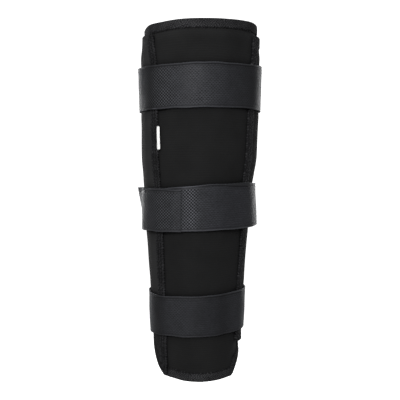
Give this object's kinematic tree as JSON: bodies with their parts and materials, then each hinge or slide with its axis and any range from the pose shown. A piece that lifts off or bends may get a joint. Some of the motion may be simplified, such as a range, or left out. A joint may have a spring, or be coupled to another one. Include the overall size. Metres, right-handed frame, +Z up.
{
  "type": "lower leg brace",
  "caption": "Tapered lower leg brace: padded shin panel and calf wrap with taped edges, closed round the leg by hook-and-loop straps.",
  "frame": {"origin": "on the leg's axis, level with the lowest edge of the shin panel, where the leg holds the brace", "axes": "+Z up the leg; the shin panel faces -Y and the calf is towards +Y; +X is on the right seen from the shin"},
  "size_m": [0.1518, 0.1551, 0.4121],
  "materials": {
    "panel": "smooth matte knit on foam laminate",
    "wrap": "smooth matte knit on foam laminate",
    "tape": "pebbly knit edge tape",
    "strap": "loop pile in a fine diamond pattern with woven selvages",
    "label": "white satin"
  },
  "bodies": {
    "root": {"front_panel": "panel", "front_binding": "tape", "back_wrap": "wrap", "wrap_binding": "tape", "top_strap": "strap", "middle_strap": "strap", "bottom_strap": "strap", "side_label": "label"}
  },
  "joints": []
}
